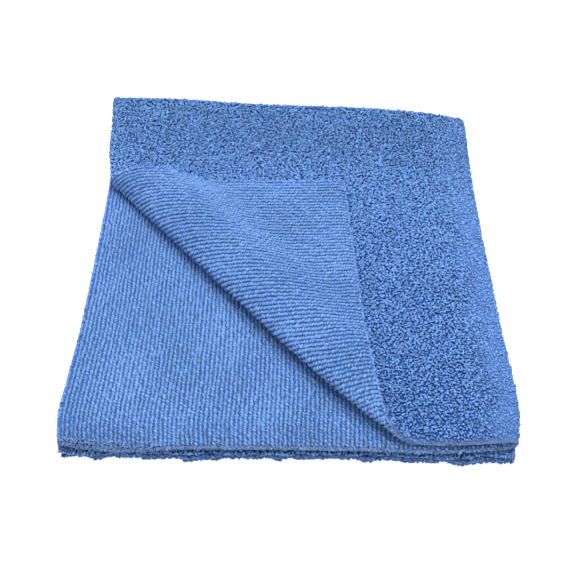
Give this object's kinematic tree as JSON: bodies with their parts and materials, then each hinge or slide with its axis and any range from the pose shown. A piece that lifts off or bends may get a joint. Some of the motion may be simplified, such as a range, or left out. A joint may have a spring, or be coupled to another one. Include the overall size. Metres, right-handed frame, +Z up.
{
  "type": "microfibre cloth",
  "caption": "Plush microfibre cloth folded square and lying flat, with a corner of its top layer turned back to show the ribbed side.",
  "frame": {"origin": "middle of the flat base that the folded cloth rests on, below the centre of its bounding box", "axes": "+Z up through the layers, +X towards the side where the layers are joined by the first fold, +Y towards the second fold at the back, so that the loose front edges face -Y"},
  "size_m": [0.2058, 0.2232, 0.0305],
  "materials": {
    "microfibre": "matt knitted microfibre, long curly pile on one side and ribbed loops on the other"
  },
  "bodies": {
    "root": {"cloth": "microfibre"}
  },
  "joints": []
}
